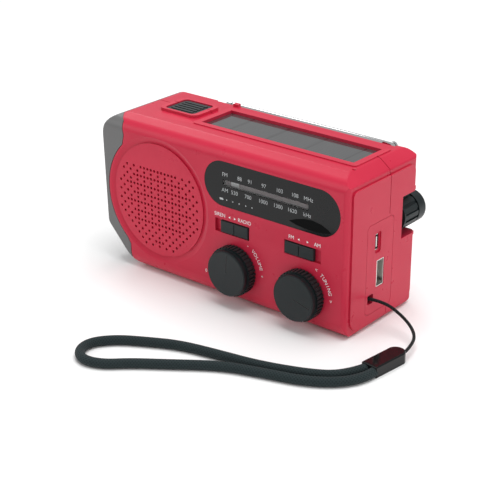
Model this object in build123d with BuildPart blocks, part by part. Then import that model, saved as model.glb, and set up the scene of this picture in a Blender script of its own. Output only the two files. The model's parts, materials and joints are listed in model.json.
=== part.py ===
"""Hand-crank emergency radio with a solar panel, a torch end and a wrist strap.

Frame: millimetres, +Z up, X along the length with the ports on +X, the speaker face towards -Y.
The origin is the middle of the base.
"""
from math import cos, radians, sin, sqrt, tan
from build123d import *
import os

os.makedirs("parts", exist_ok=True)

# Casing
FRONT = -27.5
BACK = 27.5
LEFT = -74.5
RIGHT = 73.2
SIDE_PAD = 74.0
TOP = 77.9
TOP_PAD = 78.4
WALL = 2.2
END_ROUNDING = 2.6
PARTING = 4.3
SEAM = 0.4
JOINT_LINE = 0.4

# Speaker
SPEAKER = (-38.6, 40.2)
CAP_ARC = 32.8
RIM_RADII = (31.9, 29.3)
RIM_DEPTH = 0.8
HOLE_RADIUS = 0.7
HOLE_PITCH_X = 2.25
HOLE_PITCH_Z = 2.3
HOLE_ROWS = 19
FIRST_ROW_Z = 54.7

# Dial
DIAL_CENTRE = (30.3, 59.0)
DIAL_LENGTH = 78.2
DIAL_HEIGHT = 22.3
SLOT_SPAN = (2.5, 51.7)
SLOT_CENTRE_Z = 59.7
SLOT_HEIGHT = 3.0
POINTER_X = 7.75
POINTER_WIDTH = 4.5

# Controls
VOLUME = (10.2, 18.0)
TUNING = (49.6, 17.3)
KNOB_RADIUS = 12.2
KNOB_CAP_RADIUS = 11.2
KNOB_FRONT = -35.3
KNOB_CAP_HEIGHT = 3.0
SHAFT_RADIUS = 3.0
RUNNING_GAP = 0.06
SWITCH_Z = 37.8
SWITCH_POCKET = (20.6, 6.8)
SWITCH_CAP = (16.2, 5.8)
MODE_POCKET_X = 7.9
MODE_CAP_X = 9.5
BAND_POCKET_X = 49.0
BAND_CAP_X = 47.2
BUTTON = (-43.6, 2.2)
BUTTON_SIZE = (18.0, 15.8)
BUTTON_TOP = 79.2

# Solar panel recess on the top
SOLAR_X = (-25.6, 62.8)
SOLAR_Y = (-9.5, 12.8)
SOLAR_FACE = 76.9

# Ports
PORT_PANEL_Y = (-13.0, 8.0)
PORT_PANEL_Z = (7.0, 51.5)
USB_A = (-1.75, 25.75)
USB_A_SIZE = (5.7, 13.1)
MICRO_USB = (-4.3, 41.5)
MICRO_USB_SIZE = (2.6, 7.6)
STRAP_HOLE = (-9.0, 14.6)
STRAP_HOLE_SIZE = (4.5, 4.7)

# Crank
HUB = (22.0, 46.0)
HUB_RADIUS = 9.0
FLIP_Y = 31.5
ARM_HALF = 3.1
CRANK_KNOB = (66.7, 46.0)
CRANK_KNOB_RADIUS = 8.0
CRANK_KNOB_SPAN = (16.4, 28.1)
NOTCH_X = 56.0
NOTCH_Y = 14.7
NOTCH_Z = (36.7, 57.5)
GEAR_RADIUS = 14.0
PINION_RADIUS = 3.5
GENERATOR = (HUB[0] - GEAR_RADIUS - PINION_RADIUS, HUB[1])

# Antenna
ANTENNA_Y = 24.5
ANTENNA_Z = 75.5
ANTENNA_PIVOT_X = 60.0
ANTENNA_LEFT = -34.0
ANTENNA_TIP = -38.0
SECTION_RADII = (2.3, 1.9, 1.5, 1.1)
SECTION_WALL = 0.3

# Wrist strap
STRING_DIAMETER = 1.5
LOOP_DIAMETER = 4.4
CLIP_CORD_END = (98.85, -45.1)
CLIP_STRING_END = (101.4, -23.3)
CLIP_WIDTH = 8.5
CLIP_HEIGHT = 5.2

SCREWS = ((-50.0, 8.0), (66.0, 7.5), (-27.0, 70.0), (68.5, 66.0))


def facing_front(y):
    """Plane across the depth at y: local x is X, local y is Z, extrusion goes towards the front."""
    return Plane(origin=(0, y, 0), x_dir=(1, 0, 0), z_dir=(0, -1, 0))


def facing_right(x):
    """Plane across the length at x: local x is Y, local y is Z, extrusion goes towards +X."""
    return Plane(origin=(x, 0, 0), x_dir=(0, 1, 0), z_dir=(1, 0, 0))


def block(x_span, y_span, z_span, mode=Mode.ADD):
    """A box from its three spans."""
    centre = tuple((low + high) / 2 for low, high in (x_span, y_span, z_span))
    size = [high - low for low, high in (x_span, y_span, z_span)]
    with Locations(centre):
        Box(*size, mode=mode)


def rod_y(centre, radius, y_span, mode=Mode.ADD):
    """A round bar along Y with its axis at centre (X, Z)."""
    with BuildSketch(facing_front(y_span[1])) as disc:
        with Locations(centre):
            Circle(radius)
    extrude(disc.sketch, amount=y_span[1] - y_span[0], mode=mode)


def rod_x(centre, radius, x_span, mode=Mode.ADD):
    """A round bar along X with its axis at centre (Y, Z)."""
    with BuildSketch(facing_right(x_span[0])) as disc:
        with Locations(centre):
            Circle(radius)
    extrude(disc.sketch, amount=x_span[1] - x_span[0], mode=mode)


def save(piece, name):
    """Label a finished sub-part and write its STEP file."""
    piece.part.label = name
    export_step(piece.part, "parts/" + name + ".step")


def casing_block(inset):
    """The casing's outer form, or that form drawn in by inset on every side."""
    with BuildPart() as form:
        with BuildSketch(facing_right(LEFT + inset)) as section:
            with BuildLine():
                Polyline((FRONT, 0), (FRONT, 75.0), (-19, TOP), (BACK, TOP), (BACK, 0), close=True)
            make_face()
            corners = (
                (FRONT, 0, 8.0),
                (FRONT, 75.0, 6.0),
                (-19, TOP, 2.5),
                (BACK, TOP, 6.0),
                (BACK, 0, 7.0),
            )
            for y, z, radius in corners:
                fillet(section.vertices().sort_by_distance((y, z, 0))[0], radius)
            if inset:
                offset(amount=-inset, mode=Mode.REPLACE)
        extrude(amount=RIGHT - LEFT - 2 * inset)
        with BuildSketch(facing_front(0)) as outline:
            with BuildLine():
                Polyline(
                    (-54, 0), (-73, 20.5), (LEFT, 66), (LEFT, TOP), (67.5, TOP), (RIGHT, 73.5), (RIGHT, 0),
                    close=True,
                )
            make_face()
            corners = (
                (-54, 0, 4.0),
                (-73, 20.5, 4.0),
                (LEFT, TOP, 11.0),
                (67.5, TOP, 2.0),
                (RIGHT, 73.5, 1.5),
                (RIGHT, 0, 2.2),
            )
            for x, z, radius in corners:
                fillet(outline.vertices().sort_by_distance((x, z, 0))[0], radius)
            if inset:
                offset(amount=-inset, mode=Mode.REPLACE)
        extrude(amount=BACK + 5, both=True, mode=Mode.INTERSECT)
        with BuildSketch(Plane.XY.offset(-1)) as plan:
            with Locations(((LEFT - 5 + RIGHT) / 2, 0)):
                Rectangle(RIGHT - LEFT + 5, BACK - FRONT)
            fillet(plan.vertices().group_by(Axis.X)[-1], END_ROUNDING)
            if inset:
                offset(amount=-inset, mode=Mode.REPLACE)
        extrude(amount=TOP + 2, mode=Mode.INTERSECT)
    return form.part


def cap_region(shift):
    """Everything left of the torch end's curved joint line, moved left by shift."""
    start = radians(134)
    end = radians(229)
    with BuildPart() as region:
        with BuildSketch(facing_front(40)):
            with BuildLine():
                arc_start = (SPEAKER[0] + CAP_ARC * cos(start) - shift, SPEAKER[1] + CAP_ARC * sin(start))
                arc_middle = (SPEAKER[0] - CAP_ARC - shift, SPEAKER[1])
                arc_end = (SPEAKER[0] + CAP_ARC * cos(end) - shift, SPEAKER[1] + CAP_ARC * sin(end))
                ThreePointArc(arc_start, arc_middle, arc_end)
                Polyline(
                    arc_end, (-58.0 - shift, 12), (-57.5 - shift, -1), (-80, -1), (-80, 84), (-66 - shift, 84),
                    (-66 - shift, 77.3), (-61.8 - shift, 75.3), (-60.3 - shift, 69), arc_start,
                )
            make_face()
        extrude(amount=80)
    return region.part


outer_form = casing_block(0)
inner_form = casing_block(WALL)

# Shallow line all round where the two shells meet, and a small raised dot beside it
with BuildPart() as joint_line:
    block((LEFT - 1, SIDE_PAD + 1), (PARTING - JOINT_LINE / 2, PARTING + JOINT_LINE / 2), (-1, TOP_PAD + 2))
    block((SOLAR_X[0] - 3, SOLAR_X[1] + 3), (PARTING - 1, PARTING + 1), (70, TOP_PAD + 3), mode=Mode.SUBTRACT)
    block((RIGHT - 4, SIDE_PAD + 2), (PARTING - 1, PARTING + 1), (6.0, PORT_PANEL_Z[1] + 1), mode=Mode.SUBTRACT)
    add(casing_block(0.5), mode=Mode.SUBTRACT)

# Casing walls as one piece, before it is parted into the front shell, the back shell and the torch end.
with BuildPart() as casing:
    add(outer_form)
    add(inner_form, mode=Mode.SUBTRACT)
    with BuildSketch(facing_right(RIGHT - 1)) as side_pad:
        with BuildLine():
            Polyline((-24.4, 2.8), (-24.4, 71.2), (24.6, 71.2), (24.6, 2.8), close=True)
        make_face()
        for y, z, radius in ((-24.4, 2.8, 7.0), (24.6, 2.8, 5.0), (-24.4, 71.2, 2.5), (24.6, 71.2, 4.0)):
            fillet(side_pad.vertices().sort_by_distance((y, z, 0))[0], radius)
    extrude(amount=SIDE_PAD - RIGHT + 1)
    with BuildSketch(Plane.XY.offset(TOP - 1)):
        with Locations(((SOLAR_X[0] + SOLAR_X[1]) / 2, (SOLAR_Y[0] + SOLAR_Y[1]) / 2)):
            RectangleRounded(SOLAR_X[1] - SOLAR_X[0] + 7, SOLAR_Y[1] - SOLAR_Y[0] + 7, 2)
    extrude(amount=TOP_PAD - TOP + 1, taper=8)
    with BuildSketch(Plane.XY.offset(TOP - 1)):
        with Locations(BUTTON):
            RectangleRounded(24.6, 20.2, 4)
    extrude(amount=2.4, taper=8)
    block((SOLAR_X[0] - 2, SOLAR_X[1] + 2), (SOLAR_Y[0] - 2, SOLAR_Y[1] + 2), (73.6, TOP - 1))
    block((NOTCH_X - 1.8, RIGHT), (NOTCH_Y - 1.8, BACK - 1), (NOTCH_Z[0] - 1.8, NOTCH_Z[1] + 1.8))
    block((-70, 66.5), (18.8, BACK - 1), (70.6, 74))
    block((-66, 66.5), (18.8, 21.5), (70.6, 76.5))
    block((64.5, 66.5), (18.8, BACK - 3), (70.6, 75))
    for centre in SCREWS[:2]:
        rod_y(centre, 3.5, (FRONT + 1, BACK - 1))
    rod_y(SCREWS[2], 3.5, (-4, BACK - 1))
    rod_y(SCREWS[3], 2.8, (-4, BACK - 1))
    block((-30.5, -23.5), (-4, PARTING), (70, 76))
    block((65.7, 71.2), (-4, PARTING), (64, 73.4))

    # Openings: crank notch, antenna channel, solar recess, button well, ports, dial and controls
    block((NOTCH_X, SIDE_PAD + 1), (NOTCH_Y, BACK + 1), NOTCH_Z, mode=Mode.SUBTRACT)
    block((-42, 64.5), (20.8, BACK + 1), (72.6, TOP_PAD + 2), mode=Mode.SUBTRACT)
    block((LEFT - 1, -41), (21.8, BACK + 1), (72.6, TOP_PAD + 2), mode=Mode.SUBTRACT)
    with BuildSketch(Plane.XY.offset(68)):
        with Locations((ANTENNA_PIVOT_X, ANTENNA_Y)):
            Circle(3.5)
    extrude(amount=5, mode=Mode.SUBTRACT)
    block(SOLAR_X, SOLAR_Y, (75.2, TOP_PAD + 1), mode=Mode.SUBTRACT)
    block(
        (SOLAR_X[0] + 1.5, SOLAR_X[1] - 1.5), (SOLAR_Y[0] + 1.5, SOLAR_Y[1] - 1.5), (73, 76),
        mode=Mode.SUBTRACT,
    )
    with BuildSketch(Plane.XY.offset(75)):
        with Locations(BUTTON):
            RectangleRounded(BUTTON_SIZE[0] + 0.6, BUTTON_SIZE[1] + 0.6, 2.3)
    extrude(amount=6, mode=Mode.SUBTRACT)
    with BuildSketch(facing_right(RIGHT - 4)):
        with Locations((sum(PORT_PANEL_Y) / 2, sum(PORT_PANEL_Z) / 2)):
            RectangleRounded(
                PORT_PANEL_Y[1] - PORT_PANEL_Y[0], PORT_PANEL_Z[1] - PORT_PANEL_Z[0], 2.5
            )
    extrude(amount=6, mode=Mode.SUBTRACT)
    with BuildSketch(facing_front(FRONT + 4)):
        with Locations(DIAL_CENTRE):
            SlotOverall(DIAL_LENGTH, DIAL_HEIGHT)
    extrude(amount=6, mode=Mode.SUBTRACT)
    for centre_x in (MODE_POCKET_X, BAND_POCKET_X):
        block(
            (centre_x - SWITCH_POCKET[0] / 2, centre_x + SWITCH_POCKET[0] / 2),
            (FRONT - 1, FRONT + 1.6),
            (SWITCH_Z - SWITCH_POCKET[1] / 2, SWITCH_Z + SWITCH_POCKET[1] / 2),
            mode=Mode.SUBTRACT,
        )
        block((centre_x - 5.5, centre_x + 5.5), (FRONT, FRONT + 4), (SWITCH_Z - 1.3, SWITCH_Z + 1.3),
              mode=Mode.SUBTRACT)
    for centre in (VOLUME, TUNING):
        rod_y(centre, SHAFT_RADIUS + 0.6, (FRONT - 1, FRONT + 4), mode=Mode.SUBTRACT)
    rod_y(HUB, HUB_RADIUS + 0.4, (BACK - 4, BACK + 1), mode=Mode.SUBTRACT)
    block((-36.0, 40.0), (BACK - 4, BACK + 1), (8.0, 24.0), mode=Mode.SUBTRACT)
    for centre in SCREWS:
        rod_y(centre, 2.6, (BACK - 1.4, BACK + 1), mode=Mode.SUBTRACT)
        rod_y(centre, 1.5, (-3, BACK), mode=Mode.SUBTRACT)
    add(joint_line.part, mode=Mode.SUBTRACT)


def hole_columns(row):
    """Column numbers, in half pitches from the speaker's centre, that one row of the grille has."""
    filled = {0: 4, 2: 6, 4: 8, 6: 6, 8: 8, 10: 6, 12: 6, 16: 0}
    z = FIRST_ROW_Z - HOLE_PITCH_Z * row - SPEAKER[1]
    columns = []
    for column in range(-11, 12):
        inside = abs(column) * HOLE_PITCH_X < sqrt(max(0, 26.6 ** 2 - z ** 2))
        quincunx = (column + row) % 2 == 1
        extra = row in filled and column % 2 == 0 and abs(column) <= filled[row]
        if inside and (quincunx or extra):
            columns.append(column)
    return columns


hole_places = [
    (SPEAKER[0] + column * HOLE_PITCH_X, FIRST_ROW_Z - HOLE_PITCH_Z * row)
    for row in range(HOLE_ROWS)
    for column in hole_columns(row)
]

with BuildPart() as front_shell:
    add(casing.part)
    split(bisect_by=facing_front(PARTING), keep=Keep.TOP)
    add(cap_region(0), mode=Mode.SUBTRACT)
    with BuildSketch(facing_front(FRONT)):
        with Locations(SPEAKER):
            Circle(RIM_RADII[0])
    with BuildSketch(facing_front(FRONT + RIM_DEPTH)):
        with Locations(SPEAKER):
            Circle(RIM_RADII[1])
    loft(mode=Mode.SUBTRACT)
    with BuildSketch(facing_front(FRONT + RIM_DEPTH + 0.1)):
        with Locations(SPEAKER):
            Circle(RIM_RADII[1] - 0.7)
    extrude(amount=RIM_DEPTH)
    block((67 - 0.7, 67 + 0.7), (-15.7, -14.3), (TOP - 1, TOP + 0.4))
    with BuildSketch(facing_front(FRONT + 4)):
        with Locations(*hole_places):
            Circle(HOLE_RADIUS)
    extrude(amount=6, mode=Mode.SUBTRACT)
    for centre in ((-5, 28), (30, 12), (64, 30), (30, 42)):
        rod_y(centre, 2.0, (FRONT + WALL - 0.5, -8.0))
save(front_shell, "front_shell")

with BuildPart() as back_shell:
    add(casing.part)
    split(bisect_by=facing_front(PARTING), keep=Keep.BOTTOM)
    add(cap_region(0), mode=Mode.SUBTRACT)
    block((-30, -27), (19.2, 21.6), (74, 79.2))
save(back_shell, "back_shell")

with BuildPart() as end_cap:
    add(casing.part)
    add(cap_region(SEAM), mode=Mode.INTERSECT)
    rod_x((0, 43), 15.5, (LEFT - 1, LEFT + 6), mode=Mode.SUBTRACT)
save(end_cap, "end_cap")


# Torch in the left end
with BuildPart() as torch_lens:
    rod_x((0, 43), 15.2, (-73.6, -71.8))
save(torch_lens, "torch_lens")

with BuildPart() as torch_reflector:
    with BuildSketch(facing_right(-71.7)):
        with Locations((0, 43)):
            Circle(15.0)
    with BuildSketch(facing_right(-62)):
        with Locations((0, 43)):
            Circle(9.0)
    loft()
    for y, z in ((-6, 40), (6, 40), (0, 49)):
        with BuildSketch(facing_right(-72)):
            with Locations((y, z)):
                Circle(4.6)
        with BuildSketch(facing_right(-61)):
            with Locations((y, z)):
                Circle(2.7)
        loft(mode=Mode.SUBTRACT)
save(torch_reflector, "torch_reflector")

with BuildPart() as torch_leds:
    for y, z in ((-6, 40), (6, 40), (0, 49)):
        rod_x((y, z), 2.5, (-66, -60.2))
save(torch_leds, "torch_leds")

with BuildPart() as torch_board:
    block((-60.0, -58.6), (-12, 12), (31, 55))
    block((-61.9, -60.0), (-11.9, -9.4), (34, 52))
    block((-61.9, -60.0), (9.4, 11.9), (34, 52))
save(torch_board, "torch_board")

# Torch button on the top
with BuildPart() as torch_button:
    with BuildSketch(Plane.XY.offset(73.2)):
        with Locations(BUTTON):
            RectangleRounded(BUTTON_SIZE[0], BUTTON_SIZE[1], 2)
    extrude(amount=BUTTON_TOP - 0.5 - 73.2)
    block((BUTTON[0] - 10, BUTTON[0] + 10), (BUTTON[1] - 8.7, BUTTON[1] + 8.7), (73.8, 75.3))
    for rib in range(5):
        rib_y = BUTTON[1] + (rib - 2) * 2.6
        block((BUTTON[0] - 6.8, BUTTON[0] + 6.8), (rib_y - 0.7, rib_y + 0.7), (BUTTON_TOP - 0.6, BUTTON_TOP))
save(torch_button, "torch_button")

with BuildPart() as torch_switch:
    block((-50, -37), (-3, 8), (66.0, 70.6))
    with BuildSketch(Plane.XY.offset(70.6)):
        with Locations(BUTTON):
            Circle(1.8)
    extrude(amount=1.0)
    block((-50, -38), (8, BACK - WALL), (66.0, 67.5))
save(torch_switch, "torch_switch")

# Speaker behind its grille
with BuildPart() as speaker_basket:
    with BuildSketch(facing_front(FRONT + WALL + 1.6)):
        with Locations(SPEAKER):
            Circle(28.0)
    extrude(amount=1.6)
    with BuildSketch(facing_front(FRONT + WALL + 1.6)):
        with Locations(SPEAKER):
            Circle(27.0)
    with BuildSketch(facing_front(-13)):
        with Locations(SPEAKER):
            Circle(15.0)
    loft()
    with BuildSketch(facing_front(FRONT + WALL - 1)):
        with Locations(SPEAKER):
            Circle(25.5)
    with BuildSketch(facing_front(-14)):
        with Locations(SPEAKER):
            Circle(13.6)
    loft(mode=Mode.SUBTRACT)
save(speaker_basket, "speaker_basket")

with BuildPart() as speaker_cone:
    with BuildSketch(facing_front(FRONT + WALL + 1.2)):
        with Locations(SPEAKER):
            Circle(23.0)
    with BuildSketch(facing_front(-15.2)):
        with Locations(SPEAKER):
            Circle(11)
    loft()
    with BuildSketch(facing_front(FRONT + WALL + 1.0)):
        with Locations(SPEAKER):
            Circle(22.6)
    with BuildSketch(facing_front(-16)):
        with Locations(SPEAKER):
            Circle(10)
    loft(mode=Mode.SUBTRACT)
save(speaker_cone, "speaker_cone")

with BuildPart() as speaker_magnet:
    rod_y(SPEAKER, 14.5, (-13.0, -5.0))
save(speaker_magnet, "speaker_magnet")

# Dial: smoked lens with a slot, clear strip in the slot, pointer and the scale plate behind
with BuildPart() as dial_lens:
    with BuildSketch(facing_front(FRONT + WALL)):
        with Locations(DIAL_CENTRE):
            SlotOverall(DIAL_LENGTH - 0.2, DIAL_HEIGHT - 0.2)
    extrude(amount=WALL - 0.1)
    with BuildSketch(facing_front(FRONT + WALL + 0.5)):
        with Locations(DIAL_CENTRE):
            SlotOverall(DIAL_LENGTH + 1.2, DIAL_HEIGHT + 1.0)
    extrude(amount=0.5)
    block(SLOT_SPAN, (FRONT - 1, FRONT + 4), (SLOT_CENTRE_Z - SLOT_HEIGHT / 2, SLOT_CENTRE_Z + SLOT_HEIGHT / 2),
          mode=Mode.SUBTRACT)
save(dial_lens, "dial_lens")

with BuildPart() as dial_strip:
    block(SLOT_SPAN, (FRONT + 0.3, FRONT + 1.3), (SLOT_CENTRE_Z - SLOT_HEIGHT / 2, SLOT_CENTRE_Z + SLOT_HEIGHT / 2))
save(dial_strip, "dial_strip")

with BuildPart() as dial_scale:
    with BuildSketch(facing_front(-22.9)):
        with Locations(DIAL_CENTRE):
            SlotOverall(DIAL_LENGTH - 4, DIAL_HEIGHT - 4)
    extrude(amount=1.0)
    for centre in ((6, 55), (54, 55)):
        rod_y(centre, 1.5, (-23, -8))
save(dial_scale, "dial_scale")

with BuildPart() as tuning_pointer:
    block((POINTER_X - POINTER_WIDTH / 2, POINTER_X + POINTER_WIDTH / 2), (-24.6, -24.2), (57.5, 67.0))
save(tuning_pointer, "tuning_pointer")

# Knobs on the front
def front_knob(centre):
    """A fluted knob with a flat cap and a shaft that runs into the control behind it."""
    with BuildPart() as knob:
        with BuildSketch(facing_front(FRONT - 0.4)):
            with Locations(centre):
                Circle(KNOB_RADIUS)
                with PolarLocations(KNOB_RADIUS + 0.2, 40):
                    Rectangle(1.4, 0.9, mode=Mode.SUBTRACT)
        extrude(amount=FRONT - 0.4 - KNOB_FRONT - KNOB_CAP_HEIGHT)
        rod_y(centre, KNOB_CAP_RADIUS, (KNOB_FRONT, FRONT - 1))
        rim = knob.edges().filter_by(GeomType.CIRCLE).sort_by(Axis.Y)[0]
        chamfer(rim, 0.5)
        rod_y(centre, SHAFT_RADIUS, (FRONT - 1, -14.6))
    return knob


volume_knob = front_knob(VOLUME)
save(volume_knob, "volume_knob")
tuning_knob = front_knob(TUNING)
save(tuning_knob, "tuning_knob")

with BuildPart() as volume_control:
    rod_y(VOLUME, 8.0, (-19, -8))
    rod_y(VOLUME, SHAFT_RADIUS + RUNNING_GAP, (-20, -14.3), mode=Mode.SUBTRACT)
save(volume_control, "volume_control")

with BuildPart() as tuning_capacitor:
    block((TUNING[0] - 9.5, TUNING[0] + 9.5), (-19, -8), (TUNING[1] - 9.5, TUNING[1] + 9.5))
    rod_y(TUNING, SHAFT_RADIUS + RUNNING_GAP, (-20, -14.3), mode=Mode.SUBTRACT)
save(tuning_capacitor, "tuning_capacitor")


# Slide switches
def switch_cap(centre_x):
    """A low sliding cap with a centre groove and grip lines, and its stem through the wall."""
    with BuildPart() as cap:
        block(
            (centre_x - SWITCH_CAP[0] / 2, centre_x + SWITCH_CAP[0] / 2),
            (FRONT - 0.6, FRONT + 1.3),
            (SWITCH_Z - SWITCH_CAP[1] / 2, SWITCH_Z + SWITCH_CAP[1] / 2),
        )
        edges_out = cap.faces().sort_by(Axis.Y)[0].edges()
        fillet(edges_out, 0.4)
        block((centre_x - 0.2, centre_x + 0.2), (FRONT - 1, FRONT - 0.3), (SWITCH_Z - 2.5, SWITCH_Z + 2.5),
              mode=Mode.SUBTRACT)
        block((centre_x - 1.5, centre_x + 1.5), (FRONT + 1, -18), (SWITCH_Z - 0.9, SWITCH_Z + 0.9))
    return cap


mode_switch_cap = switch_cap(MODE_CAP_X)
save(mode_switch_cap, "mode_switch_cap")
band_switch_cap = switch_cap(BAND_CAP_X)
save(band_switch_cap, "band_switch_cap")


def slide_switch(centre_x):
    """The switch body on the board, with a slot for the cap's stem."""
    with BuildPart() as switch:
        block((centre_x - 8, centre_x + 8), (-21.5, -8), (SWITCH_Z - 3, SWITCH_Z + 3))
        block((centre_x - 5.6, centre_x + 5.6), (-22, -17.5), (SWITCH_Z - 1.3, SWITCH_Z + 1.3),
              mode=Mode.SUBTRACT)
    return switch


mode_switch = slide_switch(MODE_POCKET_X)
save(mode_switch, "mode_switch")
band_switch = slide_switch(BAND_POCKET_X)
save(band_switch, "band_switch")

# Boards and power
with BuildPart() as main_board:
    block((-8, 66), (-8, -6.4), (11.6, 70))
save(main_board, "main_board")

with BuildPart() as board_parts:
    block((14, 24), (-6.4, -4.4), (28, 38))
    block((34, 41), (-6.4, -4.8), (30, 37))
    block((28, 33), (-6.4, -3.6), (50, 55))
    block((50, 56), (-6.4, -4.2), (56, 60))
save(board_parts, "board_parts")

with BuildPart() as battery_cell:
    rod_x((14, 14.2), 9.0, (-32, 33))
save(battery_cell, "battery_cell")

with BuildPart() as battery_cradle:
    block((-33.8, 34.8), (5, 20.4), (WALL, 12))
    rod_x((14, 14.2), 9.1, (-32.2, 33.2), mode=Mode.SUBTRACT)
save(battery_cradle, "battery_cradle")

with BuildPart() as battery_door:
    block((-35.8, 39.8), (BACK - WALL + 0.2, BACK), (8.2, 23.8))
    for rib in range(4):
        block((28 + rib * 2.4, 29 + rib * 2.4), (BACK - 0.7, BACK + 1), (12, 20), mode=Mode.SUBTRACT)
save(battery_door, "battery_door")

with BuildPart() as ferrite_rod:
    rod_x((11, 66.5), 4.0, (-20, 44))
save(ferrite_rod, "ferrite_rod")

with BuildPart() as ferrite_coil:
    rod_x((11, 66.5), 5.2, (-14, 4))
    rod_x((11, 66.5), 4.05, (-15, 5), mode=Mode.SUBTRACT)
save(ferrite_coil, "ferrite_coil")

# Solar panel
with BuildPart() as solar_panel:
    block((SOLAR_X[0] + 0.1, SOLAR_X[1] - 0.1), (SOLAR_Y[0] + 0.1, SOLAR_Y[1] - 0.1), (75.2, SOLAR_FACE))
save(solar_panel, "solar_panel")

# Port panel, sockets and the strap bar
with BuildPart() as port_panel:
    with BuildSketch(facing_right(RIGHT - 1.2)):
        with Locations((sum(PORT_PANEL_Y) / 2, sum(PORT_PANEL_Z) / 2)):
            RectangleRounded(
                PORT_PANEL_Y[1] - PORT_PANEL_Y[0] - SEAM, PORT_PANEL_Z[1] - PORT_PANEL_Z[0] - SEAM, 2.4
            )
    extrude(amount=SIDE_PAD - RIGHT + 1.2)
    with BuildSketch(facing_right(RIGHT - 2)):
        with Locations(USB_A):
            Rectangle(USB_A_SIZE[0] + 0.4, USB_A_SIZE[1] + 0.4)
        with Locations(MICRO_USB):
            RectangleRounded(MICRO_USB_SIZE[0] + 0.4, MICRO_USB_SIZE[1] + 0.4, 0.8)
        with Locations(STRAP_HOLE):
            RectangleRounded(*STRAP_HOLE_SIZE, 0.8)
    extrude(amount=4, mode=Mode.SUBTRACT)
    with BuildSketch(facing_right(SIDE_PAD - 0.7)):
        with Locations(MICRO_USB):
            RectangleRounded(MICRO_USB_SIZE[0] + 2, MICRO_USB_SIZE[1] + 2.6, 1.2)
    extrude(amount=2, mode=Mode.SUBTRACT)
save(port_panel, "port_panel")

with BuildPart() as usb_a_socket:
    with BuildSketch(facing_right(60)):
        with Locations(USB_A):
            Rectangle(*USB_A_SIZE)
            Rectangle(USB_A_SIZE[0] - 0.6, USB_A_SIZE[1] - 0.6, mode=Mode.SUBTRACT)
    extrude(amount=13.8)
    with BuildSketch(facing_right(60)):
        with Locations(USB_A):
            Rectangle(USB_A_SIZE[0] - 0.6, USB_A_SIZE[1] - 0.6)
    extrude(amount=1)
save(usb_a_socket, "usb_a_socket")

with BuildPart() as usb_a_tongue:
    block((61, 72.6), (USB_A[0] - 2.2, USB_A[0] - 0.4), (USB_A[1] - 5.5, USB_A[1] + 5.5))
save(usb_a_tongue, "usb_a_tongue")

with BuildPart() as micro_usb_socket:
    with BuildSketch(facing_right(66)):
        with Locations(MICRO_USB):
            RectangleRounded(*MICRO_USB_SIZE, 0.7)
    extrude(amount=7)
    with BuildSketch(facing_right(67)):
        with Locations(MICRO_USB):
            RectangleRounded(MICRO_USB_SIZE[0] - 0.5, MICRO_USB_SIZE[1] - 0.5, 0.5)
            Rectangle(0.7, 5, mode=Mode.SUBTRACT)
    extrude(amount=8, mode=Mode.SUBTRACT)
save(micro_usb_socket, "micro_usb_socket")

with BuildPart() as port_board:
    block((56, 71.5), (1.4, 3.0), (17, 48))
    block((62, 70), (-2.6, 1.4), (38, 45))
save(port_board, "port_board")

with BuildPart() as strap_bar:
    with BuildSketch(Plane.XY.offset(STRAP_HOLE[1] - 4.2)):
        with Locations((70.6, STRAP_HOLE[0])):
            Circle(1.0)
    extrude(amount=8.4)
    block((69.4, 72), (STRAP_HOLE[0] - 2, STRAP_HOLE[0] + 2), (STRAP_HOLE[1] + 4.2, STRAP_HOLE[1] + 5.4))
    block((69.4, 72), (STRAP_HOLE[0] - 2, STRAP_HOLE[0] + 2), (STRAP_HOLE[1] - 5.4, STRAP_HOLE[1] - 4.2))
save(strap_bar, "strap_bar")

# Crank: hub with two ears, folding arm, knob, gears and generator
with BuildPart() as crank_hub:
    rod_y(HUB, HUB_RADIUS, (BACK - 2.5, BACK + 0.6))
    rod_y(HUB, SHAFT_RADIUS, (8.2, BACK - 2))
    for side in (-1, 1):
        near = HUB[1] + side * 5.3
        far = HUB[1] + side * 7.4
        with BuildSketch(Plane.XY.offset(min(near, far))):
            with Locations((HUB[0], FLIP_Y)):
                Circle(ARM_HALF)
            with Locations((HUB[0], (FLIP_Y + BACK) / 2)):
                Rectangle(2 * ARM_HALF, FLIP_Y - BACK)
        extrude(amount=abs(far - near))
    with BuildSketch(Plane.XY.offset(HUB[1] - 8)):
        with Locations((HUB[0], FLIP_Y)):
            Circle(1.27)
    extrude(amount=16, mode=Mode.SUBTRACT)
save(crank_hub, "crank_hub")

with BuildPart() as flip_pin:
    with BuildSketch(Plane.XY.offset(HUB[1] - 7.4)):
        with Locations((HUB[0], FLIP_Y)):
            Circle(1.25)
    extrude(amount=14.8)
save(flip_pin, "flip_pin")

with BuildPart() as crank_arm:
    with BuildSketch(facing_front(FLIP_Y + ARM_HALF)):
        with Locations(CRANK_KNOB):
            Circle(CRANK_KNOB_RADIUS)
        with Locations((HUB[0] + 8, HUB[1])):
            Circle(5.0)
        make_hull()
    extrude(amount=2 * ARM_HALF)
    fillet(crank_arm.faces().sort_by(Axis.Y)[-1].edges(), 1.2)
    with BuildSketch(Plane.XY.offset(HUB[1] - 5.0)):
        with Locations((HUB[0], FLIP_Y)):
            Circle(ARM_HALF - 0.1)
        with Locations((HUB[0] + 6, FLIP_Y)):
            Rectangle(12, 2 * ARM_HALF - 0.2)
    extrude(amount=10)
    with BuildSketch(Plane.XY.offset(HUB[1] - 8)):
        with Locations((HUB[0], FLIP_Y)):
            Circle(1.25 + RUNNING_GAP)
    extrude(amount=16, mode=Mode.SUBTRACT)
    rod_y(CRANK_KNOB, 2.0, (19.2, FLIP_Y))
    rod_y(CRANK_KNOB, 3.0, (18.0, 19.2))
save(crank_arm, "crank_arm")

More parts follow.
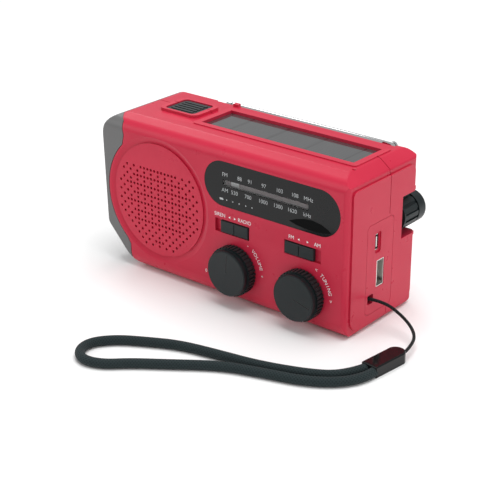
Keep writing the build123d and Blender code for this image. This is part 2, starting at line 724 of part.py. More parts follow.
with BuildPart() as crank_knob:
    rod_y(CRANK_KNOB, CRANK_KNOB_RADIUS - 0.7, CRANK_KNOB_SPAN)
    rod_y(CRANK_KNOB, CRANK_KNOB_RADIUS, (CRANK_KNOB_SPAN[0], CRANK_KNOB_SPAN[0] + 0.9))
    with BuildSketch(facing_front(CRANK_KNOB_SPAN[1] - 0.6)):
        with Locations(CRANK_KNOB):
            with PolarLocations(CRANK_KNOB_RADIUS - 1.2, 14):
                Rectangle(2.4, 2.2)
    extrude(amount=CRANK_KNOB_SPAN[1] - CRANK_KNOB_SPAN[0] - 1.2)
    rod_y(CRANK_KNOB, 2.0 + RUNNING_GAP, (19.0, 29), mode=Mode.SUBTRACT)
    rod_y(CRANK_KNOB, 3.3, (15.0, 19.5), mode=Mode.SUBTRACT)
    rod_y(CRANK_KNOB, 5.0, (15.0, 17.6), mode=Mode.SUBTRACT)
save(crank_knob, "crank_knob")

with BuildPart() as knob_plug:
    rod_y(CRANK_KNOB, 4.9, (16.6, 17.5))
save(knob_plug, "knob_plug")

with BuildPart() as crank_gear:
    rod_y(HUB, GEAR_RADIUS - 0.2, (16, 19))
    rod_y(HUB, SHAFT_RADIUS + 0.02, (15, 20), mode=Mode.SUBTRACT)
save(crank_gear, "crank_gear")

with BuildPart() as gearbox_plate:
    block((-8, 40), (11, 13), (31, 61))
    block((-8, -6), (13, BACK - WALL), (31, 61))
    block((38, 40), (13, BACK - WALL), (31, 61))
    rod_y(HUB, SHAFT_RADIUS + RUNNING_GAP, (10, 14), mode=Mode.SUBTRACT)
    rod_y(GENERATOR, 3.2, (10, 14), mode=Mode.SUBTRACT)
save(gearbox_plate, "gearbox_plate")

with BuildPart() as generator_case:
    rod_y(GENERATOR, 11.5, (-4, 11))
    rod_y(GENERATOR, 10.0, (-2.5, 9.5), mode=Mode.SUBTRACT)
    rod_y(GENERATOR, 1.06, (-4.5, 12), mode=Mode.SUBTRACT)
save(generator_case, "generator_case")

with BuildPart() as generator_rotor:
    rod_y(GENERATOR, 1.0, (-3.6, 20))
    rod_y(GENERATOR, 9.4, (-1.8, 8.8))
    rod_y(GENERATOR, PINION_RADIUS - 0.2, (15.5, 19.5))
save(generator_rotor, "generator_rotor")

# Antenna
with BuildPart() as antenna_base:
    with BuildSketch(Plane.XY.offset(68.6)):
        with Locations((ANTENNA_PIVOT_X, ANTENNA_Y)):
            Circle(3.4)
    extrude(amount=4.6)
    for side in (-1, 1):
        y_near = ANTENNA_Y + side * 1.1
        y_far = ANTENNA_Y + side * 2.2
        y_span = (min(y_near, y_far), max(y_near, y_far))
        rod_y((ANTENNA_PIVOT_X, ANTENNA_Z), 2.4, y_span)
        block((ANTENNA_PIVOT_X - 2.4, ANTENNA_PIVOT_X + 2.4), y_span, (73.0, ANTENNA_Z))
    rod_y((ANTENNA_PIVOT_X, ANTENNA_Z), 0.9, (20, 29), mode=Mode.SUBTRACT)
save(antenna_base, "antenna_base")

with BuildPart() as antenna_pin:
    rod_y((ANTENNA_PIVOT_X, ANTENNA_Z), 0.88, (ANTENNA_Y - 2.2, ANTENNA_Y + 2.2))
save(antenna_pin, "antenna_pin")

with BuildPart() as antenna_knuckle:
    rod_y((ANTENNA_PIVOT_X, ANTENNA_Z), 2.1, (ANTENNA_Y - 0.9, ANTENNA_Y + 0.9))
    block((ANTENNA_PIVOT_X - 5, ANTENNA_PIVOT_X), (ANTENNA_Y - 0.9, ANTENNA_Y + 0.9), (ANTENNA_Z - 2, ANTENNA_Z + 2))
    rod_x((ANTENNA_Y, ANTENNA_Z), 2.3, (ANTENNA_PIVOT_X - 11, ANTENNA_PIVOT_X - 4))
    rod_y((ANTENNA_PIVOT_X, ANTENNA_Z), 0.94, (20, 29), mode=Mode.SUBTRACT)
save(antenna_knuckle, "antenna_knuckle")

for number, radius in enumerate(SECTION_RADII):
    x_span = (ANTENNA_LEFT - 0.25 * number, ANTENNA_PIVOT_X - 11 - 4 * number)
    with BuildPart() as antenna_section:
        rod_x((ANTENNA_Y, ANTENNA_Z), radius, x_span)
        if number < len(SECTION_RADII) - 1:
            bore = SECTION_RADII[number + 1] + 0.08
            rod_x((ANTENNA_Y, ANTENNA_Z), bore, (x_span[0] - 1, x_span[1] - 1), mode=Mode.SUBTRACT)
        else:
            rod_x((ANTENNA_Y, ANTENNA_Z), SECTION_RADII[0], (ANTENNA_TIP, x_span[0]))
            tip_rim = antenna_section.edges().filter_by(GeomType.CIRCLE).sort_by(Axis.X)[0]
            fillet(tip_rim, 0.8)
    save(antenna_section, "antenna_section_" + str(number + 1))

# Screws from the back
with BuildPart() as housing_screws:
    for centre in SCREWS:
        rod_y(centre, 2.4, (BACK - 1.3, BACK - 0.3))
        rod_y(centre, 1.4, (-2.5, BACK - 1.3))
        with BuildSketch(facing_front(BACK)) as cross:
            with Locations(centre):
                Rectangle(2.6, 0.5)
                Rectangle(0.5, 2.6)
        extrude(cross.sketch, amount=0.9, mode=Mode.SUBTRACT)
save(housing_screws, "housing_screws")


# Wrist strap
def cord(points, diameter):
    """A cord along straight runs joined by tangent arcs; every arc uses under half of its shorter run."""
    radii = []
    for before, corner, after in zip(points, points[1:], points[2:]):
        run_in = Vector(*corner) - Vector(*before)
        run_out = Vector(*after) - Vector(*corner)
        half_turn = radians(run_in.get_angle(run_out)) / 2
        radii.append(0.45 * min(run_in.length, run_out.length) / tan(half_turn))
    print("cord radii", [round(radius, 1) for radius in radii])
    with BuildPart() as tube:
        with BuildLine() as route:
            FilletPolyline(*points, radius=radii)
        path = route.wires()[0]
        with BuildSketch(Plane(origin=path @ 0, z_dir=path % 0)) as section:
            Circle(diameter / 2)
        sweep(section.sketch, path=path)
    length = path.length
    print("cord length", round(length, 1), "volume", tube.part.volume, "section x length",
          3.14159265 * diameter ** 2 / 4 * length)
    return tube


string_route = [
    (70.6, -9.4, 14.6), (79.0, -5.8, 14.2), (88.5, -4.0, 9.0), (97.2, -7.5, 5.6), (102.2, -15.2, 4.2),
    (103.4, -25.0, 3.8),
]
strap_string = cord(string_route, STRING_DIAMETER)
save(strap_string, "strap_string")

CORD_Z = LOOP_DIAMETER / 2 + 0.05
loop_route = [
    (x, y, CORD_Z)
    for x, y in (
        (96.6, -44.2), (93.6, -53.5), (85.0, -62.0), (60.6, -71.3), (39.1, -75.1), (20.6, -78.9),
        (6.7, -86.0), (-5.0, -92.8), (-12.6, -102.2), (-10.9, -111.4), (-3.0, -116.0), (6.4, -113.0),
        (14.5, -105.0), (28.8, -94.9), (46.3, -82.2), (62.2, -76.3), (86.2, -69.1), (101.0, -55.0), (101.2, -44.7),
    )
]
wrist_loop = cord(loop_route, LOOP_DIAMETER)
save(wrist_loop, "wrist_loop")

with BuildPart() as strap_clip:
    with BuildSketch(Plane.XY):
        with BuildLine():
            axis = Vector(*CLIP_STRING_END) - Vector(*CLIP_CORD_END)
            along = axis.normalized()
            across = Vector(-along.Y, along.X) * (CLIP_WIDTH / 2)
            end = Vector(*CLIP_CORD_END)
            shoulder = Vector(*CLIP_STRING_END) - along * (CLIP_WIDTH / 2 - 0.6)
            ThreePointArc(shoulder + across, Vector(*CLIP_STRING_END), shoulder - across)
            Polyline(shoulder - across, end - across, end + across, shoulder + across)
        make_face()
    extrude(amount=CLIP_HEIGHT)
    fillet(strap_clip.faces().sort_by(Axis.Z)[-1].edges(), 0.7)
save(strap_clip, "strap_clip")
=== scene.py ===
"""Looks of the hand-crank emergency radio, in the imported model's frame (metres, +Z up, face towards -Y)."""
import json
import math

import bmesh
import bpy
from mathutils import Matrix, Vector


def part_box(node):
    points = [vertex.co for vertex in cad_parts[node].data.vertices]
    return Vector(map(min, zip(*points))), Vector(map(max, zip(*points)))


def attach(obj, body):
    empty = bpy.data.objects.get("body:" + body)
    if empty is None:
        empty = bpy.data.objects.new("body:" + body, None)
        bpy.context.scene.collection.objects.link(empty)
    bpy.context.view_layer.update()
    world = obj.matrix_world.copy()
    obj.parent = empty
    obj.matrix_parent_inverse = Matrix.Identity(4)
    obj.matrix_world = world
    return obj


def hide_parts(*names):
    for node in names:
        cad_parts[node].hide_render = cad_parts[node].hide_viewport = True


MM = 0.001

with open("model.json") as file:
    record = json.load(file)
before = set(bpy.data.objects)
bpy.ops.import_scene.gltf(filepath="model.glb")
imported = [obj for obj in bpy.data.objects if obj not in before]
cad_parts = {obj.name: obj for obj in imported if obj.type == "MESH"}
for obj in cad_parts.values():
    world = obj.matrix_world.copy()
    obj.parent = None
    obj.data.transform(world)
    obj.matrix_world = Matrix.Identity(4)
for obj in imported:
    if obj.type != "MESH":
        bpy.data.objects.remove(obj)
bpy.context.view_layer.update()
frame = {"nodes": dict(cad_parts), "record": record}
nodes = frame["nodes"]
scene = bpy.context.scene
scene.view_settings.view_transform = "Standard"


def mm(*values):
    """Millimetres to a point in metres."""
    return Vector([value * MM for value in values])


# ---------------------------------------------------------------- camera
AZIMUTH = math.radians(39.094)
ELEVATION = math.radians(24.113)
CAMERA_PLACE = (383.76, -476.80, 289.22)
LENS = 98.5
SENSOR = 36
camera_data = bpy.data.cameras.new("camera")
camera_data.lens = LENS
camera_data.sensor_width = SENSOR
camera_data.clip_end = 20
camera = bpy.data.objects.new("camera", camera_data)
scene.collection.objects.link(camera)
forward = -Vector((
    math.sin(AZIMUTH) * math.cos(ELEVATION),
    -math.cos(AZIMUTH) * math.cos(ELEVATION),
    math.sin(ELEVATION),
))
camera.location = mm(*CAMERA_PLACE)
camera.rotation_euler = forward.to_track_quat("-Z", "Y").to_euler()
scene.camera = camera


# ---------------------------------------------------------------- material helpers
class Shader:
    """A principled material with short calls for the textures that this object needs."""

    def __init__(self, name, colour, roughness, metallic=0.0, **sockets):
        self.material = bpy.data.materials.new(name)
        self.material.use_nodes = True
        self.tree = self.material.node_tree
        self.bsdf = self.tree.nodes["Principled BSDF"]
        self.bsdf.inputs["Base Color"].default_value = (*colour, 1)
        self.bsdf.inputs["Roughness"].default_value = roughness
        self.bsdf.inputs["Metallic"].default_value = metallic
        for socket, value in sockets.items():
            self.bsdf.inputs[socket.replace("_", " ")].default_value = value
        self.colour = colour
        self.coordinates = self.node("ShaderNodeTexCoord").outputs["Object"]
        self.normal = None

    def node(self, kind, **settings):
        """A new node of this kind, with its settings."""
        made = self.tree.nodes.new(kind)
        for key, value in settings.items():
            setattr(made, key, value)
        return made

    def link(self, output, socket):
        """Joins an output to a socket."""
        self.tree.links.new(output, socket)

    def noise(self, scale, detail=3.0, roughness=0.5, stretch=None):
        """A noise value in the piece's own coordinates, drawn out along an axis by stretch."""
        texture = self.node("ShaderNodeTexNoise")
        texture.inputs["Scale"].default_value = scale
        texture.inputs["Detail"].default_value = detail
        texture.inputs["Roughness"].default_value = roughness
        start = self.coordinates
        if stretch:
            mapping = self.node("ShaderNodeMapping")
            mapping.inputs["Scale"].default_value = stretch
            self.link(start, mapping.inputs["Vector"])
            start = mapping.outputs["Vector"]
        self.link(start, texture.inputs["Vector"])
        return texture.outputs["Fac"]

    def wave(self, scale, direction):
        """Even bands across one axis."""
        texture = self.node("ShaderNodeTexWave", bands_direction=direction)
        texture.inputs["Scale"].default_value = scale
        self.link(self.coordinates, texture.inputs["Vector"])
        return texture.outputs["Fac"]

    def spread(self, factor, low, high):
        """A 0 to 1 value mapped to low to high."""
        ramp = self.node("ShaderNodeMapRange")
        ramp.inputs["To Min"].default_value = low
        ramp.inputs["To Max"].default_value = high
        self.link(factor, ramp.inputs["Value"])
        return ramp.outputs["Result"]

    def maths(self, operation, first, second):
        """One maths step; each input is a number or an output."""
        made = self.node("ShaderNodeMath", operation=operation)
        for socket, value in zip(made.inputs, (first, second)):
            if isinstance(value, (int, float)):
                socket.default_value = value
            else:
                self.link(value, socket)
        return made.outputs["Value"]

    def blend_colour(self, factor, first, second):
        """A colour between two; each is a tuple or an output."""
        mix = self.node("ShaderNodeMix", data_type="RGBA")
        self.link(factor, mix.inputs["Factor"])
        for key, value in (("A", first), ("B", second)):
            socket = [item for item in mix.inputs if item.name == key and item.type == "RGBA"][0]
            if isinstance(value, tuple):
                socket.default_value = (*value, 1)
            else:
                self.link(value, socket)
        return [item for item in mix.outputs if item.type == "RGBA"][0]

    def vary_colour(self, factor, darker, lighter):
        """Base colour from a darker to a lighter copy of the material's own."""
        first = tuple(channel * darker for channel in self.colour)
        second = tuple(min(1, channel * lighter) for channel in self.colour)
        result = self.blend_colour(factor, first, second)
        self.link(result, self.bsdf.inputs["Base Color"])
        return result

    def vary_roughness(self, factor, low, high):
        """Roughness between two values."""
        self.link(self.spread(factor, low, high), self.bsdf.inputs["Roughness"])

    def bump(self, height, distance, strength):
        """Adds relief on top of any that the material has already."""
        made = self.node("ShaderNodeBump")
        made.inputs["Strength"].default_value = strength
        made.inputs["Distance"].default_value = distance
        self.link(height, made.inputs["Height"])
        if self.normal:
            self.link(self.normal, made.inputs["Normal"])
        self.normal = made.outputs["Normal"]
        self.link(self.normal, self.bsdf.inputs["Normal"])


GRAIN_DEPTH = 0.02 * MM
ROUGHNESS_SPREAD = 0.07


def moulded_plastic(name, colour, roughness, **sockets):
    """Moulded plastic: a fine spark-eroded grain, faint cloudiness and slightly lighter rubbed edges."""
    made = Shader(name, colour, roughness, **sockets)
    cloud = made.noise(45, 2)
    tint = made.vary_colour(cloud, 0.95, 1.05)
    edge = made.node("ShaderNodeNewGeometry").outputs["Pointiness"]
    rubbed = made.node("ShaderNodeMapRange")
    rubbed.inputs["From Min"].default_value = 0.52
    rubbed.inputs["From Max"].default_value = 0.6
    rubbed.inputs["To Max"].default_value = 0.25
    made.link(edge, rubbed.inputs["Value"])
    paler = tuple(min(1, channel * 1.25 + 0.03) for channel in colour)
    made.link(made.blend_colour(rubbed.outputs["Result"], tint, paler), made.bsdf.inputs["Base Color"])
    made.vary_roughness(made.noise(160, 4), roughness - ROUGHNESS_SPREAD, roughness + ROUGHNESS_SPREAD)
    made.bump(made.noise(5200, 2), GRAIN_DEPTH, 0.6)
    return made.material


def polished_metal(name, colour, roughness, stretch=None):
    """Bright metal with a faint drawn grain."""
    made = Shader(name, colour, roughness, metallic=1.0)
    grain = made.noise(900, 3, stretch=stretch)
    made.vary_colour(grain, 0.94, 1.04)
    made.vary_roughness(grain, roughness * 0.7, roughness * 1.4)
    return made.material


def gloss(name, colour, roughness=0.06, **sockets):
    """Clear-coated dark or printed surface with faint handling marks."""
    made = Shader(name, colour, roughness, **sockets)
    marks = made.noise(120, 5, 0.7)
    made.vary_colour(marks, 0.9, 1.1)
    made.vary_roughness(marks, roughness * 0.6, roughness * 1.8)
    return made.material


def solar_cells():
    """Dark cells under a clear cover, with fine collector lines across and the gaps between cells."""
    made = Shader("solar_cells", (0.035, 0.037, 0.04), 0.16)
    made.bsdf.inputs["Coat Weight"].default_value = 1.0
    made.bsdf.inputs["Coat Roughness"].default_value = 0.05
    crystal = made.noise(260, 2, stretch=(1, 0.3, 1))
    base = made.blend_colour(crystal, (0.028, 0.03, 0.034), (0.045, 0.047, 0.05))
    fingers = made.maths("GREATER_THAN", made.wave(160, "X"), 0.93)
    lined = made.blend_colour(fingers, base, (0.07, 0.07, 0.072))
    gaps = made.maths("GREATER_THAN", made.wave(14.3, "X"), 0.994)
    made.link(made.blend_colour(gaps, lined, (0.012, 0.012, 0.014)), made.bsdf.inputs["Base Color"])
    return made.material


def woven_cord(name, colour, along, around):
    """Braided cord: two sets of strands that cross, from the tube's own length and turn coordinates."""
    made = Shader(name, colour, 0.8, Specular_IOR_Level=0.2)
    made.bsdf.inputs["Sheen Weight"].default_value = 0.06
    made.bsdf.inputs["Sheen Roughness"].default_value = 0.5
    uv = made.node("ShaderNodeTexCoord").outputs["UV"]
    split = made.node("ShaderNodeSeparateXYZ")
    made.link(uv, split.inputs["Vector"])
    length = made.maths("MULTIPLY", split.outputs["X"], along)
    turn = made.maths("MULTIPLY", split.outputs["Y"], around)
    rising = made.maths("SINE", made.maths("ADD", length, turn), 0.0)
    falling = made.maths("SINE", made.maths("SUBTRACT", length, turn), 0.0)
    weave = made.maths("MAXIMUM", rising, falling)
    height = made.spread(weave, 0.0, 1.0)
    fuzz = made.noise(2600, 4)
    # Colour follows the weave height as painted shade in the valleys between strands and painted highlight on the
    # crests, plus random fibre fuzz.
    weave_shade_and_fuzz = made.maths("ADD", made.maths("MULTIPLY", height, 0.7), made.maths("MULTIPLY", fuzz, 0.5))
    made.vary_colour(weave_shade_and_fuzz, 0.45, 1.45)
    made.bump(height, 0.00016, 0.9)
    made.bump(fuzz, 0.00005, 0.5)
    return made.material


def circuit_board():
    """Green board with tracks that show through the lacquer."""
    made = Shader("circuit_board", (0.02, 0.14, 0.05), 0.4)
    tracks = made.maths("GREATER_THAN", made.noise(420, 1), 0.55)
    made.link(
        made.blend_colour(tracks, (0.015, 0.11, 0.04), (0.03, 0.2, 0.08)), made.bsdf.inputs["Base Color"]
    )
    return made.material


def clear_plastic():
    """Clear moulded plastic, slightly rubbed."""
    made = Shader("clear_plastic", (0.95, 0.96, 0.97), 0.05)
    made.bsdf.inputs["Transmission Weight"].default_value = 1.0
    made.bsdf.inputs["IOR"].default_value = 1.46
    made.vary_roughness(made.noise(300, 3), 0.03, 0.09)
    return made.material


def printed_ink(name, colour, specular=0.5):
    """Flat printed ink with a faint unevenness."""
    made = Shader(name, colour, 0.5, Specular_IOR_Level=specular)
    made.vary_colour(made.noise(1500, 3), 0.93, 1.03)
    return made.material


RED = (0.55, 0.018, 0.052)
finishes = {
    "red_plastic": moulded_plastic("red_plastic", RED, 0.3, Specular_IOR_Level=0.24),
    "grey_plastic": moulded_plastic("grey_plastic", (0.13, 0.13, 0.13), 0.34, Specular_IOR_Level=0.4),
    "black_plastic": moulded_plastic("black_plastic", (0.0075, 0.013, 0.0145), 0.4, Specular_IOR_Level=0.3),
    "gloss_black": gloss("gloss_black", (0.008, 0.0085, 0.009), 0.08, Specular_IOR_Level=0.25),
    "dark_rubber": moulded_plastic("dark_rubber", (0.03, 0.034, 0.036), 0.6, Specular_IOR_Level=0.3),
    "clear_plastic": clear_plastic(),
    "reflector": polished_metal("reflector", (0.9, 0.9, 0.9), 0.08),
    "led": gloss("led", (0.9, 0.82, 0.45), 0.1),
    "circuit_board": circuit_board(),
    "steel": polished_metal("steel", (0.56, 0.56, 0.57), 0.3),
    "cone_paper": moulded_plastic("cone_paper", (0.03, 0.028, 0.028), 0.85),
    "scale_plate": moulded_plastic("scale_plate", (0.3, 0.21, 0.215), 0.6),
    "pointer_white": printed_ink("pointer_white", (0.9, 0.9, 0.89)),
    "white_plastic": moulded_plastic("white_plastic", (0.78, 0.76, 0.7), 0.45),
    "battery_wrap": gloss("battery_wrap", (0.06, 0.2, 0.5), 0.25),
    "ferrite": moulded_plastic("ferrite", (0.06, 0.06, 0.06), 0.7),
    "copper": polished_metal("copper", (0.72, 0.35, 0.2), 0.3),
    "solar_cell": solar_cells(),
    "bright_metal": polished_metal("bright_metal", (0.8, 0.79, 0.77), 0.18),
    "chrome": polished_metal("chrome", (0.86, 0.86, 0.87), 0.08, stretch=(1, 12, 12)),
    "string_cord": woven_cord("string_cord", (0.012, 0.013, 0.014), 5200, 12.566),
    "woven_cord": woven_cord("woven_cord", (0.017, 0.027, 0.029), 4400, 56.55),
}
for entry in frame["record"]["subparts"]:
    for holder in nodes[entry["node"]].material_slots:
        holder.material = finishes[entry["material_slot"]]

ink_white = printed_ink("ink_white", (0.86, 0.86, 0.87))
ink_grey = printed_ink("ink_grey", (0.5, 0.52, 0.53))
swoosh_black = printed_ink("swoosh_black", (0.003, 0.0035, 0.0035), 0.05)


# ---------------------------------------------------------------- mesh helpers
def add_object(name, data, material, body):
    """Link a new piece, give it its material and make it ride on its body."""
    made = bpy.data.objects.new(name, data)
    scene.collection.objects.link(made)
    data.materials.append(material)
    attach(made, body)
    return made


def outline_plate(name, points, place, thickness, material, body):
    """A thin plate from a closed outline; place maps its local (right, up, out) axes into the frame."""
    mesh = bpy.data.meshes.new(name)
    shape = bmesh.new()
    face = shape.faces.new([shape.verts.new((x, y, 0)) for x, y in points])
    out = bmesh.ops.extrude_face_region(shape, geom=[face])
    for item in out["geom"]:
        if isinstance(item, bmesh.types.BMVert):
            item.co.z += thickness
    bmesh.ops.recalc_face_normals(shape, faces=shape.faces)
    shape.transform(place)
    shape.to_mesh(mesh)
    shape.free()
    return add_object(name, mesh, material, body)


def front_place(x, z, y, angle=0.0):
    """Local axes on a plane that faces -Y: right is +X, up is +Z; angle turns the mark, anticlockwise."""
    facing = Matrix(((1, 0, 0), (0, 0, -1), (0, 1, 0))).to_4x4()
    return Matrix.Translation(mm(x, y, z)) @ facing @ Matrix.Rotation(angle, 4, "Z")


DISC_SIDES = 32


def disc_outline(radius):
    """Corners of a round mark."""
    angles = [2 * math.pi * step / DISC_SIDES for step in range(DISC_SIDES)]
    return [(radius * math.cos(angle), radius * math.sin(angle)) for angle in angles]


INK_THICKNESS = 0.03 * MM


def print_text(name, text, x, z, y, height, angle=0.0, material=ink_white, thinned=0.0):
    """Lettering centred at (x, z) on a plane facing the front, its capitals height mm tall."""
    font = bpy.data.curves.new(name, "FONT")
    font.body = text
    font.size = height / 0.70 * MM
    font.align_x = "CENTER"
    font.align_y = "CENTER"
    font.extrude = INK_THICKNESS / 2
    font.offset = -thinned * font.size
    made = bpy.data.objects.new(name, font)
    scene.collection.objects.link(made)
    made.matrix_world = front_place(x, z, y, angle)
    bpy.context.view_layer.update()
    mesh = bpy.data.meshes.new_from_object(made.evaluated_get(bpy.context.evaluated_depsgraph_get()))
    mesh.transform(made.matrix_world)
    bpy.data.objects.remove(made)
    return add_object(name, mesh, material, "radio")


# ---------------------------------------------------------------- wrist strap
def spline_points(name, route):
    """Points along the smooth line that has the route as its control points."""
    curve = bpy.data.curves.new(name, "CURVE")
    curve.dimensions = "3D"
    curve.resolution_u = 24
    spline = curve.splines.new("NURBS")
    spline.points.add(len(route) - 1)
    for point, place in zip(spline.points, route):
        point.co = (*mm(*place), 1)
    spline.order_u = 3
    spline.use_endpoint_u = True
    holder = bpy.data.objects.new(name, curve)
    scene.collection.objects.link(holder)
    bpy.context.view_layer.update()
    line = bpy.data.meshes.new_from_object(holder.evaluated_get(bpy.context.evaluated_depsgraph_get()))
    points = [vertex.co.copy() for vertex in line.vertices]
    bpy.data.objects.remove(holder)
    return points


def evenly_spaced(points, step):
    """The same line, resampled at an even spacing."""
    result = [points[0]]
    carried = 0.0
    for before, after in zip(points, points[1:]):
        run = (after - before).length
        position = step - carried
        while position < run:
            result.append(before.lerp(after, position / run))
            position += step
        carried = run - (position - step)
    result.append(points[-1])
    return result


def cord_mesh(name, points, radius, sides):
    """A tube along points, with UVs: U is the length in metres and V goes once round."""
    shape = bmesh.new()
    layer = shape.loops.layers.uv.new("UVMap")
    rings = []
    lengths = []
    travelled = 0.0
    side = Vector((0, 0, 1))
    for index, point in enumerate(points):
        before = points[max(index - 1, 0)]
        after = points[min(index + 1, len(points) - 1)]
        direction = (after - before).normalized()
        side = (side - direction * side.dot(direction)).normalized()
        other = direction.cross(side)
        if index:
            travelled += (point - before).length
        lengths.append(travelled)
        rings.append([
            shape.verts.new(
                point
                + side * radius * math.cos(2 * math.pi * step / sides)
                + other * radius * math.sin(2 * math.pi * step / sides)
            )
            for step in range(sides)
        ])
    for index in range(len(rings) - 1):
        for step in range(sides):
            following = (step + 1) % sides
            face = shape.faces.new((
                rings[index][step], rings[index][following],
                rings[index + 1][following], rings[index + 1][step],
            ))
            face.smooth = True
            corners = ((index, step), (index, step + 1), (index + 1, step + 1), (index + 1, step))
            for loop, (ring, turn) in zip(face.loops, corners):
                loop[layer].uv = (lengths[ring], turn / sides)
    shape.faces.new(list(reversed(rings[0])))
    shape.faces.new(rings[-1])
    bmesh.ops.recalc_face_normals(shape, faces=shape.faces)
    mesh = bpy.data.meshes.new(name)
    shape.to_mesh(mesh)
    shape.free()
    return mesh, travelled


STRING_DIAMETER = 1.5
string_route = (
    (70.6, -9.4, 14.6), (79.0, -5.8, 14.2), (88.5, -4.0, 9.0), (97.2, -7.5, 5.6), (102.2, -15.2, 4.2),
    (103.4, -25.0, 3.8),
)
string_line = evenly_spaced(spline_points("string_route", string_route), 0.4 * MM)
string_data, string_length = cord_mesh("strap_string_piece", string_line, STRING_DIAMETER / 2 * MM, 16)
strap_string = add_object(
    "strap_string_piece", string_data, finishes["string_cord"], "radio"
)
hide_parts("strap_string")

LOOP_DIAMETER = 4.4
LOOP_HEIGHT = LOOP_DIAMETER / 2 + 0.05
loop_route = [
    (x, y, LOOP_HEIGHT)
    for x, y in (
        (96.6, -44.2), (93.6, -53.5), (85.0, -62.0), (60.6, -71.3), (39.1, -75.1), (20.6, -78.9),
        (6.7, -86.0), (-5.0, -92.8), (-12.6, -102.2), (-10.9, -111.4), (-3.0, -116.0), (6.4, -113.0),
        (14.5, -105.0), (28.8, -94.9), (46.3, -82.2), (62.2, -76.3), (86.2, -69.1), (101.0, -55.0),
        (101.2, -44.7),
    )
]
loop_line = evenly_spaced(spline_points("loop_route", loop_route), 0.8 * MM)
loop_data, loop_length = cord_mesh("wrist_loop_piece", loop_line, LOOP_DIAMETER / 2 * MM, 32)
wrist_loop = add_object("wrist_loop_piece", loop_data, finishes["woven_cord"], "radio")
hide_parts("wrist_loop")


# ---------------------------------------------------------------- dial print
LENS_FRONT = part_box("dial_lens")[0].y / MM
DIAL_Y = LENS_FRONT - 0.01
DIAL_TEXT_HEIGHT = 1.9
DIAL_ROWS = (
    (
        "dial_fm_", 63.7,
        (("FM", 3.7), ("88", 12.5), ("91", 18.6), ("97", 26.6), ("103", 35.6), ("108", 44.2), ("MHz", 51.7)),
    ),
    (
        "dial_am_", 56.0,
        (("AM", 3.7), ("530", 9.4), ("700", 17.4), ("1000", 26.2), ("1300", 34.8), ("1620", 42.8), ("kHz", 51.2)),
    ),
)
for prefix, row_z, labels in DIAL_ROWS:
    for label, x in labels:
        print_text(
            prefix + label, label, x, row_z, DIAL_Y, DIAL_TEXT_HEIGHT, material=ink_grey, thinned=0.006
        )

CHARGE_ROW_Z = 51.4
for index, x in enumerate((4.7, 8.4, 12.2, 16.1, 19.8)):
    outline_plate(
        "charge_dot_" + str(index), disc_outline(0.32 * MM), front_place(x, CHARGE_ROW_Z, DIAL_Y),
        INK_THICKNESS, ink_grey, "radio",
    )
battery_mark = [
    (-1.1, -0.5), (0.9, -0.5), (0.9, -0.2), (1.2, -0.2), (1.2, 0.2), (0.9, 0.2), (0.9, 0.5), (-1.1, 0.5),
]
outline_plate(
    "charge_mark", [(x * MM, y * MM) for x, y in battery_mark], front_place(1.6, CHARGE_ROW_Z, DIAL_Y),
    INK_THICKNESS, ink_grey, "radio",
)

swoosh_upper = [(41.0, 50.9), (45.0, 52.6), (49.5, 53.9), (54.0, 54.3), (59.0, 53.6), (63.0, 51.9)]
swoosh_lower = [(64.5, 50.6), (60.5, 49.7), (55.0, 49.2), (50.0, 49.3), (45.0, 49.9)]
outline_plate(
    "dial_swoosh", [((x - 52) * MM, (z - 51) * MM) for x, z in reversed(swoosh_upper + swoosh_lower)],
    front_place(52, 51, DIAL_Y), INK_THICKNESS, swoosh_black, "radio",
)

# ---------------------------------------------------------------- front labels
FACE_Y = -27.52
LABEL_Z = 43.2
print_text("label_siren", "SIREN", 0.6, LABEL_Z, FACE_Y, 1.8)
print_text("label_radio", "RADIO", 15.4, LABEL_Z, FACE_Y, 1.8)
print_text("label_fm", "FM", 42.6, LABEL_Z, FACE_Y, 1.8)
print_text("label_am", "AM", 57.2, LABEL_Z, FACE_Y, 1.8)
for index, (x, turned) in enumerate(((6.4, 1), (9.6, -1), (46.8, 1), (51.8, -1))):
    arrow = [(-0.6 * MM * turned, 0), (0.5 * MM * turned, -0.6 * MM), (0.5 * MM * turned, 0.6 * MM)]
    outline_plate(
        "label_arrow_" + str(index), arrow, front_place(x, LABEL_Z, FACE_Y), INK_THICKNESS, ink_white,
        "radio",
    )

VOLUME = (10.2, 18.0)
TUNING = (49.6, 17.3)


def arc_label(name, letters, centre, radius, first, last, height):
    """Letters set one by one round an arc, their feet towards its centre; angles in degrees from +X."""
    for index, letter in enumerate(letters):
        if letter == " ":
            continue
        angle = math.radians(first + (last - first) * index / (len(letters) - 1))
        x = centre[0] + radius * math.cos(angle)
        z = centre[1] + radius * math.sin(angle)
        print_text(name + "_" + str(index), letter, x, z, FACE_Y, height, angle=angle - math.pi / 2)


arc_label("label_volume", "- VOLUME +", VOLUME, 15.6, 62, 2, 1.8)
arc_label("label_tuning", "< TUNING >", TUNING, 15.6, 62, 2, 1.8)
print_text("label_zero", "0", -8.3, 11.8, FACE_Y, 1.6)


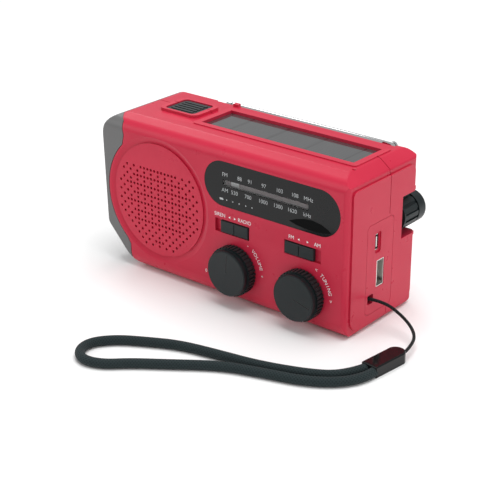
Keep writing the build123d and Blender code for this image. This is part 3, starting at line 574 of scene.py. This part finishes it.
# ---------------------------------------------------------------- knob pointer lines
def knob_line(name, centre, body, angle):
    """The thin line on a knob's face; angle is anticlockwise from +X, seen from the front."""
    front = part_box(body)[0].y / MM
    stroke = [(0.6, -0.22), (9.8, -0.22), (9.8, 0.22), (0.6, 0.22)]
    outline_plate(
        name, [(x * MM, y * MM) for x, y in stroke],
        front_place(centre[0], centre[1], front + 0.015, angle), INK_THICKNESS, finishes["gloss_black"],
        body,
    )


knob_line("volume_line", VOLUME, "volume_knob", math.radians(85))
knob_line("tuning_line", TUNING, "tuning_knob", math.radians(-15))


# ---------------------------------------------------------------- stage and lights
def stage_floor():
    """A plain pale floor under the radio."""
    mesh = bpy.data.meshes.new("floor")
    half = 4.0
    corners = [(-half, -half, 0), (half, -half, 0), (half, half, 0), (-half, half, 0)]
    mesh.from_pydata(corners, [], [(0, 1, 2, 3)])
    floor = bpy.data.objects.new("floor", mesh)
    scene.collection.objects.link(floor)
    paper = Shader("floor_paper", (0.93, 0.93, 0.93), 0.9)
    paper.vary_colour(paper.noise(3, 2), 0.99, 1.01)
    mesh.materials.append(paper.material)


stage_floor()


def area_light(name, place, target, size, power):
    """A round soft light that faces its target."""
    data = bpy.data.lights.new(name, "AREA")
    data.shape = "DISK"
    data.size = size
    data.energy = power
    lamp = bpy.data.objects.new(name, data)
    lamp.location = place
    lamp.rotation_euler = (Vector(target) - Vector(place)).to_track_quat("-Z", "Y").to_euler()
    scene.collection.objects.link(lamp)


area_light("overhead", (0.1, 0.15, 1.3), (0, 0, 0), 1.3, 15)
area_light("back", (-1.25, 0.85, 1.15), (0, 0, 0.08), 0.8, 4)
area_light("front_left", (-0.9, -1.1, 0.7), (0, 0, 0.04), 0.9, 3.2)
area_light("right", (1.3, -0.3, 0.7), (0, 0, 0.04), 0.9, 3.2)
world = bpy.data.worlds.new("studio")
world.use_nodes = True
world.node_tree.nodes["Background"].inputs["Color"].default_value = (1, 1, 1, 1)
world.node_tree.nodes["Background"].inputs["Strength"].default_value = 0.42
scene.world = world
